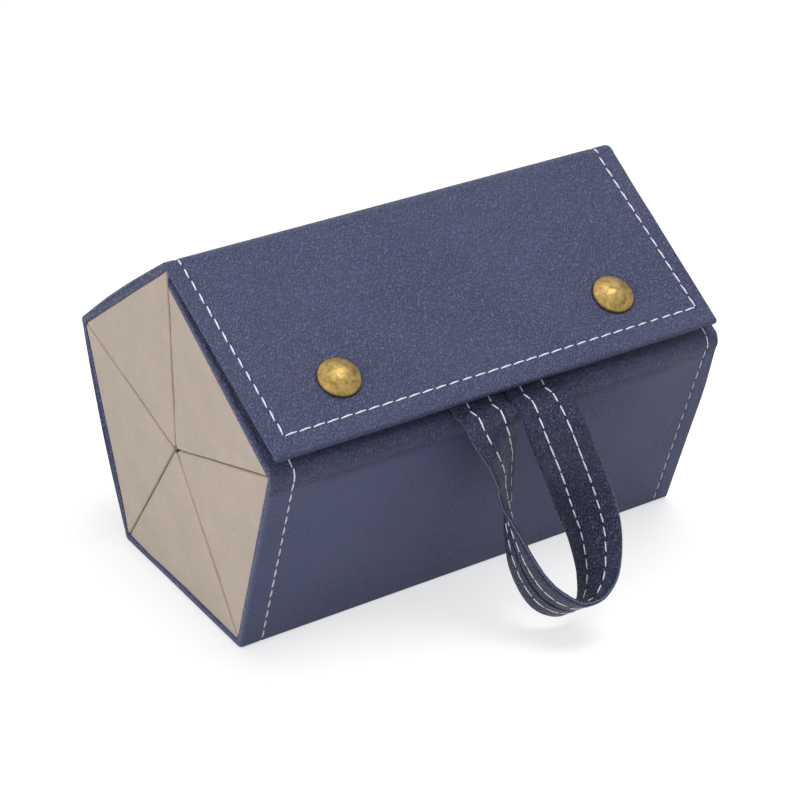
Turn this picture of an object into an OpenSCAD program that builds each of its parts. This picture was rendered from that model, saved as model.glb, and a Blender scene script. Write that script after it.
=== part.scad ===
// Roll-up jewellery case: five three-sided trays on a leather cover close
// into a five-sided roll, held by a buttoned flap, with a carrying loop.
// X runs along the case, Y to its back and Z up. The origin is on the table,
// under the middle of the case.

/* [Case] */
// Length of the cover from end to end
case_length = 170; // [120:1:240]
// Outer width of each of the five sides
side_width = 78.5; // [66:0.5:110]

/* [Cover] */
// Thickness of the outer leather
leather_t = 1; // [0.8:0.1:1.2]
// Thickness of the stiffening boards behind the leather
board_t = 2; // [1.5:0.1:2.5]
// Radius of the leather fold at each corner that opens
fold_r = 1; // [0.8:0.1:1.2]
// How far the front roof sinks at the ridge to make room for the flap
roof_sink = 3.6; // [3.4:0.1:5]
// How far the boards stop short of the leather at each end of the case
board_margin = 0.8; // [0.5:0.1:2]

/* [Trays] */
// How far the trays stand back from each end of the cover
tray_margin = 0.6; // [0.4:0.1:4]
// Thickness of the walls, ends and lids of the trays
wall_t = 2; // [1.5:0.1:2.5]
// Thickness of the padded bottom of each tray
pad_t = 1.5; // [1:0.1:4]
// Gap between the faces of neighbouring trays
tray_gap = 0.8; // [0.6:0.1:1.5]
// How far the tray walls stop short of the middle of the roll
tip_cut = 3; // [2.8:0.1:6]

/* [Flap] */
// How far the flap's lower edge stops short of the shoulder
flap_short = 3; // [2.5:0.5:8]
// How far the flap stands off the front roof, in degrees
flap_lift = 4.8; // [4.5:0.1:6]
// How far the flap stops short of each end of the case
flap_margin = 1.3; // [0:0.1:5]
// Thickness of the board inside the flap
flap_board_t = 1.5; // [1:0.1:1.6]
// Thickness of the lining under the flap
lining_t = 0.5; // [0.4:0.1:0.6]
// Width of the ridge strip, between the two folds that the flap turns on
ridge_w = 4.4; // [3.8:0.1:5]

/* [Buttons] */
// Distance between the two buttons
button_spacing = 104; // [60:1:112]
// Distance of the buttons from the flap's lower edge
button_edge = 20; // [14:0.5:26]
// Diameter of the domed caps
cap_d = 14.5; // [10:0.1:18]
// Height of the domed caps
cap_h = 3.6; // [2:0.1:5]
// Height of the straight rim under each cap's dome
cap_rim_h = 0.8; // [0.4:0.1:1.2]
// Diameter of the flat magnets under the flap
magnet_d = 12; // [8:0.1:14]
// Thickness of the flat magnets
magnet_t = 1; // [0.8:0.1:1.2]
// Diameter of the low domed studs on the front roof
stud_d = 9; // [6:0.1:12]
// Diameter of the rivet posts
post_d = 3; // [2:0.1:4]

/* [Strap] */
// Width of the strap
strap_w = 19.5; // [12:0.5:26]
// Thickness of the strap
strap_t = 2; // [1.2:0.1:2.2]
// Distance between the middles of the strap's two ends
strap_spacing = 20.2; // [20:0.1:40]
// Length of the strap ends that are sewn down under the flap
strap_tab = 14; // [8:0.5:18]
// How far the fold that the loop swings on stands out from the shoulder
strap_reach = 4; // [3:0.5:6]
// Height of the loop's lowest point above the table
strap_floor_gap = 3.5; // [2:0.5:30]

/* [Fits] */
// Clearance between pieces that move past each other
fit = 0.3; // [0.2:0.05:0.4]
// Clearance between soft pieces that lie on each other
seat = 0.15; // [0.1:0.05:0.2]
// Number of facets on round pieces
smooth = 64; // [32:8:128]

/* [Hidden] */
$fn = smooth;

// The five sides of the roll, in order round it from the table
BOTTOM = 0;
REAR_WALL = 1;
REAR_ROOF = 2;
FRONT_ROOF = 3;
FRONT_WALL = 4;
// Turn from one side of the roll to the next
step = 72;
// Ends of the case, as directions along X
LEFT = -1;
RIGHT = 1;

navy = "#4a4e70";
navy_dark = "#3c4060";
card = "#8a8272";
felt = "#b9ad9c";
felt_light = "#c9beae";
brass = "#a98b45";
steel = "#9a9ca0";

cover_t = leather_t + board_t;
flap_t = leather_t + flap_board_t + lining_t;
apothem = side_width / (2 * tan(step / 2));
corner_r = side_width / (2 * sin(step / 2));
// Middle of the roll and two corners of its outline, as [y, z]. All outlines
// and places in this file that have two numbers are given in this way.
middle = [0, apothem];
ridge = middle + corner_r * [0, 1];
shoulder = middle + polar(corner_r, 90 + step);
// Lean of the front roof about the shoulder
roof_lean = asin(roof_sink / side_width);
roof_turn = 3 * step - roof_lean;
flap_turn = 180 + step / 2 - flap_lift;
// Distance of a fold's axis along a side from the corner it rounds
fold_x = fold_r * tan(step / 2);
leather_end = fold_x + fold_r + fit;
board_end = cover_t * tan(step / 2) + fit;
// The ridge strip cuts the corner between rear roof and flap. Half of the
// bend is at each of its folds.
ridge_bend = (step - flap_lift) / 2;
ridge_cut = ridge_w / 2 / cos(ridge_bend);
ridge_fold_x = ridge_cut + fold_r * tan(ridge_bend / 2);
ridge_leather_end = ridge_fold_x + fold_r + fit;
ridge_board_end = ridge_fold_x + max(fold_r, cover_t - fold_r) + fit;
flap_length = side_width - flap_short;
button_drop = flap_length - button_edge;
upper_fold = ridge + polar(ridge_fold_x, -step / 2) + polar(fold_r, -step / 2 - 90);
lower_fold = ridge + polar(ridge_fold_x, flap_turn) + polar(fold_r, flap_turn + 90);
tray_length = case_length - 2 * tray_margin;
lid_zone = tray_gap / 2 + wall_t + fit;
wall_zone = tray_gap / 2 + wall_t;
post_hole_d = post_d + 2 * seat;

function polar(r, a) = [r * cos(a), r * sin(a)];

// Where two lines cross. Each line is the angle of its outward normal and
// its distance from the middle of the roll.
function meet(a, b) = middle
    + [a[1] * sin(b[0]) - b[1] * sin(a[0]), b[1] * cos(a[0]) - a[1] * cos(b[0])] / sin(b[0] - a[0]);

// A side's line, at a depth below its outer face
function side_line(side, depth) = side == FRONT_ROOF
    ? [roof_turn - 90, corner_r * cos(step / 2 + roof_lean) - depth]
    : [step * side - 90, apothem - depth];

// The lines that part a side's tray from the trays before and after it
function lid_line(side, inset) = [step * (side - 3), -inset];
function wall_line(side, inset) = [step * side + step / 2, -inset];
function tip_line(side) = [step * side - 90, tip_cut];

// Solids are drawn as outlines in the Y-Z plane and drawn out along X.
module along_x(length) {
    rotate([90, 0, 90])
        linear_extrude(length, center = true)
            children();
}

// Puts an outline on one side of the roll, other than the front roof: x runs
// along the side from its middle and y goes down into the roll.
module on_side(side) {
    translate(middle)
        rotate(step * side)
            translate([0, -apothem])
                children();
}

// The same for the flap: x runs down the flap from the ridge.
module on_flap() {
    translate(ridge)
        rotate(flap_turn)
            children();
}

// ---- Cover ----

// One sheet runs under the case, up the front wall and over the front roof.
module front_cover_leather() {
    color(navy)
        difference() {
            along_x(case_length)
                polygon([
                    meet(side_line(BOTTOM, 0), [0, side_width / 2 - leather_end]),
                    meet(side_line(BOTTOM, 0), side_line(FRONT_WALL, 0)),
                    shoulder,
                    meet(side_line(FRONT_ROOF, 0), wall_line(REAR_ROOF, -tray_gap)),
                    meet(side_line(FRONT_ROOF, leather_t), wall_line(REAR_ROOF, -tray_gap)),
                    meet(side_line(FRONT_ROOF, leather_t), side_line(FRONT_WALL, leather_t)),
                    meet(side_line(BOTTOM, leather_t), side_line(FRONT_WALL, leather_t)),
                    meet(side_line(BOTTOM, leather_t), [0, side_width / 2 - leather_end])]);
            stud_holes();
        }
}

module side_leather(side, start, end) {
    color(navy)
        along_x(case_length)
            on_side(side)
                translate([start - side_width / 2, 0])
                    square([side_width - start - end, leather_t]);
}

module side_board(side, start, end) {
    color(card)
        along_x(case_length - 2 * board_margin)
            on_side(side)
                translate([start - side_width / 2, leather_t])
                    square([side_width - start - end, board_t]);
}

module rear_wall_leather() side_leather(REAR_WALL, leather_end, leather_end);
module rear_roof_leather() side_leather(REAR_ROOF, leather_end, ridge_leather_end);
module bottom_board() side_board(BOTTOM, board_end, board_end);
module front_wall_board() side_board(FRONT_WALL, board_end, board_end);
module rear_wall_board() side_board(REAR_WALL, board_end, board_end);
module rear_roof_board() side_board(REAR_ROOF, board_end, ridge_board_end);

module front_roof_board() {
    difference() {
        color(card)
            along_x(case_length - 2 * board_margin)
                polygon([
                    meet(side_line(FRONT_ROOF, leather_t), side_line(FRONT_WALL, cover_t + fit)),
                    meet(side_line(FRONT_ROOF, leather_t), wall_line(REAR_ROOF, -tray_gap)),
                    meet(side_line(FRONT_ROOF, cover_t), wall_line(REAR_ROOF, -tray_gap)),
                    meet(side_line(FRONT_ROOF, cover_t), side_line(FRONT_WALL, cover_t + fit))]);
        stud_holes();
    }
}

// Rounded leather folds that the moving sides turn about
module fold_at(side) {
    color(navy_dark)
        along_x(case_length)
            on_side(side)
                translate([fold_x - side_width / 2, fold_r])
                    circle(fold_r);
}

module upper_rear_fold() fold_at(REAR_ROOF);
module lower_rear_fold() fold_at(REAR_WALL);

// The ridge is a strip of leather with a fold along each edge: the rear roof
// hangs on one and the flap on the other.
module ridge_strip() {
    color(navy_dark)
        along_x(case_length) {
            for (fold = [upper_fold, lower_fold])
                translate(fold)
                    circle(fold_r);
            translate((upper_fold + lower_fold) / 2)
                rotate(180 + step / 2 - ridge_bend - flap_lift)
                    square([norm(lower_fold - upper_fold), 2 * fold_r], center = true);
        }
}

// ---- Flap ----

module flap_layer(start, depth, thickness, tint) {
    color(tint)
        difference() {
            along_x(case_length - 2 * flap_margin)
                on_flap()
                    translate([start, depth])
                        square([flap_length - start, thickness]);
            at_buttons()
                translate([0, 0, -fit])
                    cylinder(h = flap_t + 2 * fit, d = post_hole_d);
        }
}

module flap_leather() flap_layer(ridge_leather_end, 0, leather_t, navy);
module flap_board() flap_layer(ridge_board_end, leather_t, flap_board_t, card);
module flap_lining() flap_layer(ridge_board_end, leather_t + flap_board_t, lining_t, navy_dark);

// ---- Buttons ----

// Both buttons' places on the flap's outer face, with z down into the case
module at_buttons() {
    for (end = [LEFT, RIGHT])
        rotate([90, 0, 90])
            translate([ridge.x, ridge.y, end * button_spacing / 2])
                rotate([0, 0, flap_turn])
                    translate([button_drop, 0, 0])
                        rotate([-90, 0, 0])
                            children();
}

// Domed cap and its post, which goes through the flap to the magnet
module button_caps() {
    dome_h = cap_h - cap_rim_h;
    dome_r = (pow(cap_d / 2, 2) + pow(dome_h, 2)) / (2 * dome_h);
    color(brass)
        at_buttons() {
            translate([0, 0, -cap_rim_h])
                cylinder(h = cap_rim_h, d = cap_d);
            intersection() {
                translate([0, 0, dome_r - cap_h])
                    sphere(dome_r);
                translate([0, 0, -cap_h])
                    cylinder(h = dome_h, d = cap_d);
            }
            cylinder(h = flap_t, d = post_d);
        }
}

module flap_magnets() {
    color(steel)
        at_buttons()
            translate([0, 0, flap_t])
                cylinder(h = magnet_t, d = magnet_d);
}

// The stud's place along the front roof, straight under the button, and the
// room that it has there
button_under = ridge + polar(button_drop, flap_turn) + polar(flap_t + magnet_t, flap_turn + 90);
stud_along = (button_under - shoulder) * polar(1, roof_turn);
stud_room = (button_under - shoulder) * polar(1, roof_turn - 90);
stud_h = stud_room - fit;

// Both studs' places on the front roof's outer face, with z up off it
module at_studs() {
    for (end = [LEFT, RIGHT])
        rotate([90, 0, 90])
            translate([shoulder.x, shoulder.y, end * button_spacing / 2])
                rotate([0, 0, roof_turn])
                    translate([stud_along, 0, 0])
                        rotate([90, 0, 0])
                            children();
}

module stud_holes() {
    at_studs()
        translate([0, 0, -cover_t - fit])
            cylinder(h = cover_t + 2 * fit, d = post_hole_d);
}

module roof_studs() {
    dome_r = (pow(stud_d / 2, 2) + pow(stud_h, 2)) / (2 * stud_h);
    color(steel)
        at_studs() {
            intersection() {
                translate([0, 0, stud_h - dome_r])
                    sphere(dome_r);
                cylinder(h = stud_h, d = stud_d);
            }
            translate([0, 0, -cover_t])
                cylinder(h = cover_t, d = post_d);
        }
}

// ---- Strap ----

// The strap comes out level from under the flap. The loop swings about the
// fold in which it turns down, clear of the shoulder.
tab_out = polar(seat, roof_turn - 90);
swing = shoulder + [-strap_reach, tab_out.y + strap_t / 2];
loop_drop = swing.y - strap_floor_gap - strap_t / 2;
// The loop starts just clear of its fold, at this slope below the level.
loop_slope = 36;
loop_gap = strap_t / 2 + 3 * fit;
loop_start = [loop_gap * cos(loop_slope), loop_gap * sin(loop_slope)] / loop_drop;

// Stations along the loop's middle: x in strap spacings, how far it stands
// out from the swing line and how far down it has come in loop drops, then the
// turn of its width from the length of the case towards the front, and how
// far the width tilts down.
loop_route = [
    [0, loop_start.x, loop_start.y, 0, 0],
    [0.004, 0.071, 0.06, 6, -9],
    [0.042, 0.127, 0.143, 12, -16],
    [0.181, 0.175, 0.298, 9, -17],
    [0.357, 0.196, 0.456, 30, -18],
    [0.507, 0.222, 0.615, 55, -16],
    [0.491, 0.267, 0.741, 72, -20],
    [0.392, 0.308, 0.827, 84, -25],
    [0.168, 0.344, 0.895, 97, -34],
    [-0.172, 0.34, 0.911, 97, -41],
    [-0.455, 0.295, 0.874, 92, -46],
    [-0.612, 0.23, 0.812, 93, -44],
    [-0.675, 0.141, 0.714, 100, -39],
    [-0.661, 0.05, 0.578, 116, -28],
    [-0.64, 0.015, 0.451, 130, -3],
    [-0.709, 0.026, 0.322, 138, 19],
    [-0.797, 0.06, 0.231, 142, 22],
    [-0.913, 0.073, 0.138, 150, 14],
    [-0.975, 0.057, 0.076, 167, 3],
    [-0.995, 0.036, 0.037, 177, 0],
    [-1, loop_start.x, loop_start.y, 180, 0]];
loop_steps = 3;

function station(i) = loop_route[max(0, min(len(loop_route) - 1, i))];
// A smooth curve through four stations in a row, at a share t of the middle span
function blend(a, b, c, d, t) = 0.5 * (2 * b + (c - a) * t
    + (2 * a - 5 * b + 4 * c - d) * t * t + (3 * b - a - 3 * c + d) * t * t * t);
function route_at(u) = let (i = floor(u))
    blend(station(i - 1), station(i), station(i + 1), station(i + 2), u - i);
function route_point(u) = let (r = route_at(u))
    [(r[0] + 0.5) * strap_spacing, swing.x - r[1] * loop_drop, swing.y - r[2] * loop_drop];
function unit(v) = v / norm(v);
function route_heading(u) = let (last = len(loop_route) - 1)
    unit(route_point(min(last, u + 0.05)) - route_point(max(0, u - 0.05)));

function loop_ring(u) =
    let (
        place = route_point(u),
        heading = route_heading(u),
        turn = route_at(u)[3],
        tilt = route_at(u)[4],
        lie = [cos(tilt) * cos(turn), -cos(tilt) * sin(turn), -sin(tilt)],
        across = unit(lie - (lie * heading) * heading),
        face = cross(heading, across))
    [for (corner = [[-1, -1], [1, -1], [1, 1], [-1, 1]])
        place + corner.x * across * strap_w / 2 + corner.y * face * strap_t / 2];

module strap_loop() {
    count = (len(loop_route) - 1) * loop_steps + 1;
    rings = [for (i = [0 : count - 1]) loop_ring(i / loop_steps)];
    points = [for (ring = rings) each ring];
    color(navy)
        polyhedron(
            points = points,
            faces = concat(
                [[0, 1, 2, 3]],
                [for (i = [0 : count - 2], j = [0 : 3], half = [0, 1])
                    let (a = 4 * i + j, b = 4 * i + (j + 1) % 4)
                    half == 0 ? [a, a + 4, b + 4] : [a, b + 4, b]],
                [[4 * count - 1, 4 * count - 2, 4 * count - 3, 4 * count - 4]]));
}

module at_strap_ends() {
    for (end = [LEFT, RIGHT])
        translate([end * strap_spacing / 2, 0, 0])
            children();
}

// The strap's two ends, sewn down on the front roof under the flap, with the
// short level run that brings each of them out to its fold
module strap_ends() {
    low = shoulder + tab_out;
    high = meet([roof_turn - 90, (low - middle) * polar(1, roof_turn - 90) + strap_t], [90, swing.y + strap_t / 2 - middle.y]);
    back = polar(-strap_tab, roof_turn);
    end = swing.x + strap_t / 2 + fit;
    color(navy)
        at_strap_ends()
            along_x(strap_w)
                polygon([
                    low, low + back, low + back + polar(strap_t, roof_turn - 90),
                    high, [end, swing.y + strap_t / 2], [end, swing.y - strap_t / 2]]);
}

module strap_folds() {
    color(navy_dark)
        at_strap_ends()
            along_x(strap_w)
                translate(swing)
                    circle(strap_t / 2);
}

// ---- Trays ----

module tray_pad(side) {
    color(felt)
        along_x(tray_length - 2 * wall_t)
            polygon([
                meet(side_line(side, cover_t), lid_line(side, lid_zone)),
                meet(side_line(side, cover_t), wall_line(side, wall_zone)),
                meet(side_line(side, cover_t + pad_t), wall_line(side, wall_zone)),
                meet(side_line(side, cover_t + pad_t), lid_line(side, lid_zone))]);
}

module tray_wall(side) {
    color(felt)
        along_x(tray_length - 2 * wall_t)
            polygon([
                meet(side_line(side, cover_t), wall_line(side, tray_gap / 2)),
                meet(tip_line(side), wall_line(side, tray_gap / 2)),
                meet(tip_line(side), wall_line(side, wall_zone)),
                meet(side_line(side, cover_t), wall_line(side, wall_zone))]);
}

// The ends cover the other pieces of the tray, the lid between them included.
module tray_end(side, end) {
    color(felt_light)
        translate([end * (tray_length - wall_t) / 2, 0, 0])
            along_x(wall_t)
                polygon([
                    meet(side_line(side, cover_t), lid_line(side, tray_gap / 2)),
                    meet(side_line(side, cover_t), wall_line(side, tray_gap / 2)),
                    meet(tip_line(side), wall_line(side, tray_gap / 2)),
                    meet(tip_line(side), lid_line(side, tray_gap / 2))]);
}

// The lid turns about its rounded edge, in the corner next to the cover.
function lid_hinge(side) = meet(
    side_line(side, cover_t + fit + wall_t / 2), lid_line(side, tray_gap / 2 + wall_t / 2));

module tray_lid(side) {
    hinge = lid_hinge(side);
    direction = step * side + 54;
    reach = (meet(lid_line(side, wall_zone), wall_line(side, lid_zone)) - hinge) * polar(1, direction);
    color(felt)
        along_x(tray_length - 2 * (wall_t + fit))
            translate(hinge)
                rotate(direction) {
                    circle(wall_t / 2);
                    translate([0, -wall_t / 2])
                        square([reach, wall_t]);
                }
}

module bottom_tray_pad() tray_pad(BOTTOM);
module bottom_tray_wall() tray_wall(BOTTOM);
module bottom_tray_lid() tray_lid(BOTTOM);
module bottom_tray_left_end() tray_end(BOTTOM, LEFT);
module bottom_tray_right_end() tray_end(BOTTOM, RIGHT);
module rear_wall_tray_pad() tray_pad(REAR_WALL);
module rear_wall_tray_wall() tray_wall(REAR_WALL);
module rear_wall_tray_lid() tray_lid(REAR_WALL);
module rear_wall_tray_left_end() tray_end(REAR_WALL, LEFT);
module rear_wall_tray_right_end() tray_end(REAR_WALL, RIGHT);
module rear_roof_tray_pad() tray_pad(REAR_ROOF);
module rear_roof_tray_wall() tray_wall(REAR_ROOF);
module rear_roof_tray_lid() tray_lid(REAR_ROOF);
module rear_roof_tray_left_end() tray_end(REAR_ROOF, LEFT);
module rear_roof_tray_right_end() tray_end(REAR_ROOF, RIGHT);
module front_roof_tray_pad() tray_pad(FRONT_ROOF);
module front_roof_tray_wall() tray_wall(FRONT_ROOF);
module front_roof_tray_lid() tray_lid(FRONT_ROOF);
module front_roof_tray_left_end() tray_end(FRONT_ROOF, LEFT);
module front_roof_tray_right_end() tray_end(FRONT_ROOF, RIGHT);
module front_wall_tray_pad() tray_pad(FRONT_WALL);
module front_wall_tray_wall() tray_wall(FRONT_WALL);
module front_wall_tray_lid() tray_lid(FRONT_WALL);
module front_wall_tray_left_end() tray_end(FRONT_WALL, LEFT);
module front_wall_tray_right_end() tray_end(FRONT_WALL, RIGHT);

front_cover_leather();
rear_wall_leather();
rear_roof_leather();
ridge_strip();
upper_rear_fold();
lower_rear_fold();
bottom_board();
front_wall_board();
front_roof_board();
rear_wall_board();
rear_roof_board();
flap_leather();
flap_board();
flap_lining();
button_caps();
flap_magnets();
roof_studs();
strap_loop();
strap_ends();
strap_folds();
bottom_tray_pad();
bottom_tray_wall();
bottom_tray_lid();
bottom_tray_left_end();
bottom_tray_right_end();
rear_wall_tray_pad();
rear_wall_tray_wall();
rear_wall_tray_lid();
rear_wall_tray_left_end();
rear_wall_tray_right_end();
rear_roof_tray_pad();
rear_roof_tray_wall();
rear_roof_tray_lid();
rear_roof_tray_left_end();
rear_roof_tray_right_end();
front_roof_tray_pad();
front_roof_tray_wall();
front_roof_tray_lid();
front_roof_tray_left_end();
front_roof_tray_right_end();
front_wall_tray_pad();
front_wall_tray_wall();
front_wall_tray_lid();
front_wall_tray_left_end();
front_wall_tray_right_end();
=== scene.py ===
from math import asin, atan2, cos, degrees, pi, radians, sin, tan

import bmesh
import bpy
from mathutils import Matrix, Vector, noise


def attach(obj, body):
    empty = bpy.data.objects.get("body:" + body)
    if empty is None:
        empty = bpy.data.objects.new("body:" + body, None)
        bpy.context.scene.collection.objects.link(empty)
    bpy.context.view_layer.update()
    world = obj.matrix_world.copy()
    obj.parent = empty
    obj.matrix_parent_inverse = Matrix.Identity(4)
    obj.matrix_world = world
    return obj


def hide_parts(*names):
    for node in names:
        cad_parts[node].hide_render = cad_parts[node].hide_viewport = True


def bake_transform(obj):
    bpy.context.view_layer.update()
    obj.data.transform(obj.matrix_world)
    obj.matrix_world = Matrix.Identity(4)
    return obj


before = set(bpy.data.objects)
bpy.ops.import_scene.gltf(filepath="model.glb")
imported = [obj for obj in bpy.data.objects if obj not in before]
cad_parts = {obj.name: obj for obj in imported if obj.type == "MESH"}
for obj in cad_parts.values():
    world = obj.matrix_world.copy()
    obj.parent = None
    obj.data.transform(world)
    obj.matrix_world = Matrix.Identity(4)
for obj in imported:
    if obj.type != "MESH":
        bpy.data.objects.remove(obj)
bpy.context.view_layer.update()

# ---- Camera ----
# A long lens looks down on the case from its front left, so that the flap,
# the front wall and the left end with its five tray ends all show.

view_turn, view_rise = radians(-32.866), radians(28.927)
camera = bpy.data.objects.new("camera", bpy.data.cameras.new("camera"))
bpy.context.scene.collection.objects.link(camera)
bpy.context.scene.camera = camera
camera.location = (-0.39564, -0.61369, 0.45039)
camera.rotation_mode = "QUATERNION"
camera.rotation_quaternion = Vector((
    -sin(view_turn) * cos(view_rise), cos(view_turn) * cos(view_rise),
    -sin(view_rise))).to_track_quat("-Z", "Y")
camera.data.sensor_width = 36
camera.data.lens = 111.6
camera.data.clip_start, camera.data.clip_end = 0.01, 50
bpy.context.scene.view_settings.view_transform = "Standard"

# ---- Table and studio light ----
# A pale matt table top and a white studio. One wide soft box hangs over the
# front of the case, a weaker one stands at its left end.


def add(tree, kind, **values):
    """A shader node with its inputs and settings filled in."""
    node = tree.nodes.new(kind)
    for key, value in values.items():
        if key in node.bl_rna.properties:
            setattr(node, key, value)
        else:
            node.inputs[key.replace("_", " ")].default_value = value
    return node


def new_material(name):
    material = bpy.data.materials.new(name)
    material.use_nodes = True
    tree = material.node_tree
    tree.nodes.clear()
    surface = add(tree, "ShaderNodeBsdfPrincipled")
    output = add(tree, "ShaderNodeOutputMaterial")
    tree.links.new(surface.outputs[0], output.inputs[0])
    return material, tree, surface


def noisy(tree, where, **values):
    """A noise texture, as a value from 0 to 1."""
    node = add(tree, "ShaderNodeTexNoise", **values)
    tree.links.new(where, node.inputs["Vector"])
    return node.outputs["Fac"]


def colour_ramp(tree, value, low, high, start=0.0, end=1.0):
    """A colour that goes from low to high as a value goes from start to end."""
    node = add(tree, "ShaderNodeValToRGB")
    for element, place, colour in zip(node.color_ramp.elements, (start, end), (low, high)):
        element.position, element.color = place, (*colour, 1)
    tree.links.new(value, node.inputs["Fac"])
    return node.outputs["Color"]


def either(tree, *values):
    """The larger of two values."""
    node = add(tree, "ShaderNodeMath", operation="MAXIMUM")
    for value, socket in zip(values, node.inputs):
        tree.links.new(value, socket)
    return node.outputs[0]


def seen_by_eye(tree):
    """1 for what the camera sees straight, in a reflection or through glass, and 0 for light."""
    rays = add(tree, "ShaderNodeLightPath").outputs
    mirrored = either(tree, rays["Is Glossy Ray"], rays["Is Transmission Ray"])
    return either(tree, rays["Is Camera Ray"], mirrored)


def mesh_object(bm, name, *materials):
    """Makes the finished mesh an object at the origin. The mesh is in millimetres until here."""
    bmesh.ops.scale(bm, vec=(0.001, 0.001, 0.001), verts=bm.verts)
    mesh = bpy.data.meshes.new(name)
    for face in bm.faces:
        face.smooth = True
    bm.to_mesh(mesh)
    bm.free()
    mesh.set_sharp_from_angle(angle=radians(38))
    for material in materials:
        mesh.materials.append(material)
    piece = bpy.data.objects.new(name, mesh)
    bpy.context.scene.collection.objects.link(piece)
    return piece


table_top, tree, surface = new_material("table_top")
links = tree.links.new
glow = add(tree, "ShaderNodeMath", operation="MULTIPLY")
glow.inputs[1].default_value = 0.6
links(seen_by_eye(tree), glow.inputs[0])
surface.inputs["Emission Color"].default_value = (1, 1, 1, 1)
links(glow.outputs[0], surface.inputs["Emission Strength"])
surface.inputs["Roughness"].default_value = 0.9
surface.inputs["Specular IOR Level"].default_value = 0.2
where = add(tree, "ShaderNodeTexCoord").outputs["Object"]
paper = noisy(tree, where, Scale=400.0, Detail=4.0)
links(colour_ramp(tree, paper, (0.53, 0.53, 0.535), (0.56, 0.56, 0.565)), surface.inputs["Base Color"])

bm = bmesh.new()
bmesh.ops.create_circle(bm, cap_ends=True, segments=96, radius=6000)
floor = mesh_object(bm, "table", table_top)

world = bpy.data.worlds.new("studio")
bpy.context.scene.world = world
world.use_nodes = True
tree = world.node_tree
tree.nodes.clear()
studio = add(tree, "ShaderNodeBackground", Color=(1, 1, 1, 1), Strength=0.42)
white = add(tree, "ShaderNodeBackground", Color=(1, 1, 1, 1), Strength=1.0)
both = add(tree, "ShaderNodeMixShader")
out = add(tree, "ShaderNodeOutputWorld")
tree.links.new(seen_by_eye(tree), both.inputs[0])
tree.links.new(studio.outputs[0], both.inputs[1])
tree.links.new(white.outputs[0], both.inputs[2])
tree.links.new(both.outputs[0], out.inputs[0])


def soft_box(name, place, width, watts):
    light = bpy.data.lights.new(name, "AREA")
    light.shape = "SQUARE"
    light.size = width
    light.energy = watts
    lamp = bpy.data.objects.new(name, light)
    bpy.context.scene.collection.objects.link(lamp)
    lamp.location = place
    lamp.rotation_mode = "QUATERNION"
    lamp.rotation_quaternion = (Vector((0, 0, 0.06)) - Vector(place)).to_track_quat("-Z", "Y")


soft_box("overhead_soft_box", (0.25, -0.1, 1.3), 0.8, 10.4)
soft_box("left_soft_box", (-1.3, -0.3, 0.55), 0.8, 8.2)

# ---- Front cover ----
# One sheet of grained leather glued over stiff boards runs under the case, up
# the front wall and over the front roof. Its edges are turned round the
# boards, and it bends over the shoulder, where the leather creases.

half_length = 85.0
side_width = 78.5
side_turn = 72
board = 3.0
middle = Vector((0, side_width / 2 / tan(radians(side_turn / 2))))
corner_reach = side_width / 2 / sin(radians(side_turn / 2))
roof_sink = 3.6
roof_edge = 0.8
lean = degrees(asin(roof_sink / side_width))
roof_turn = 3 * side_turn - lean
fold_zone = 1.85
toe_bend, shoulder_bend, rim = 1.4, 3.2, 0.9
stitch_inset, stitch_pitch, stitch_pull, row_width = 6.0, 4.9, 0.22, 1.1
wave_size, wave_height = 19, 0.12
BOTTOM, REAR_WALL, REAR_ROOF, FRONT_ROOF, FRONT_WALL = range(5)


def polar(reach, angle):
    return Vector((reach * cos(radians(angle)), reach * sin(radians(angle))))


# Places that have two numbers are (y, z). A line is the angle of its normal
# and its distance from the middle of the roll.
def side_line(side, depth):
    if side == FRONT_ROOF:
        return roof_turn - 90, corner_reach * cos(radians(side_turn / 2 + lean)) - depth
    return side_turn * side - 90, middle.y - depth


def off_side(co, side):
    """How far a point lies from the outer plane of a side."""
    turn, reach = side_line(side, 0)
    return abs((co.yz - middle) @ polar(1, turn) - reach)


def split_line(side, offset):
    """The line that parts a side from the next, or one beside it by offset."""
    return side_turn * (side + 0.5), offset


def meet(a, b):
    turn = sin(radians(b[0] - a[0]))
    return middle + Vector((
        a[1] * sin(radians(b[0])) - b[1] * sin(radians(a[0])),
        b[1] * cos(radians(a[0])) - a[1] * cos(radians(b[0])))) / turn


ridge = middle + polar(corner_reach, 90)
shoulder = middle + polar(corner_reach, 90 + side_turn)
flap_turn = 211.2
ridge_normal = (flap_turn - side_turn / 2) / 2 + 90


def drawn_out(outline, start, end):
    """A closed solid between two places along the case, from its outline."""
    bm = bmesh.new()
    loop = [bm.verts.new((start, p[0], p[1])) for p in outline]
    face = bm.faces.new(loop)
    grown = bmesh.ops.extrude_face_region(bm, geom=[face])
    moved = [e for e in grown["geom"] if isinstance(e, bmesh.types.BMVert)]
    bmesh.ops.translate(bm, vec=(end - start, 0, 0), verts=moved)
    bmesh.ops.recalc_face_normals(bm, faces=bm.faces)
    return bm


def long_edges(bm, *corners):
    """The edges that run along the case at these corners of the outline."""
    return [e for e in bm.edges if abs(e.verts[0].co.x - e.verts[1].co.x) > 1
            and any((e.verts[0].co.yz - c).length < 0.01 for c in corners)]


def rim_edges(bm, skip=()):
    """The outer edges of a solid, other than those that lie on a skipped line."""
    def on(line, co):
        return abs((co.yz - middle) @ polar(1, line[0]) - line[1]) < 0.02
    return [e for e in bm.edges if e.is_manifold and e.calc_face_angle_signed(0) > 0.8
            and not any(on(s, e.verts[0].co) and on(s, e.verts[1].co) for s in skip)]


def rounded(bm, edges, width, segments):
    bmesh.ops.bevel(bm, geom=edges, offset=width, offset_type="OFFSET", segments=segments,
                    profile=0.5, affect="EDGES", material=-1, clamp_overlap=True)


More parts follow.
